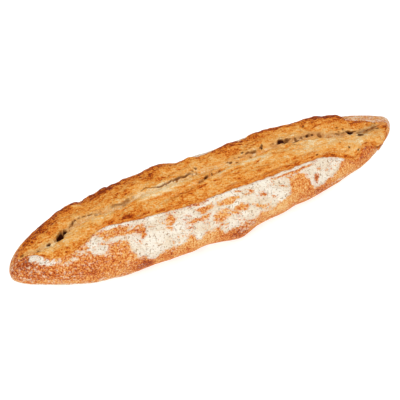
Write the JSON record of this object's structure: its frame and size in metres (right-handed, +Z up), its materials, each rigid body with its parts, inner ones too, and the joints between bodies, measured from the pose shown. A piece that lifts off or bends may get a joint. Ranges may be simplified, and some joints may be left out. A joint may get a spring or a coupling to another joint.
{
  "type": "baguette",
  "caption": "Rustic baguette: a long uncut loaf with one lengthwise cut that opened in the oven, a lifted flap along it and a flat underside.",
  "frame": {"origin": "centre of the loaf's outline, on the level of its flat underside", "axes": "+X along the loaf towards its far, more pointed tip, +Y towards the side of the lifted flap, +Z up"},
  "size_m": [0.38, 0.0923, 0.0548],
  "materials": {
    "crust": "golden-brown baked crust, matt, dusted with flour along the front"
  },
  "bodies": {
    "root": {"baguette": "crust"}
  },
  "joints": []
}
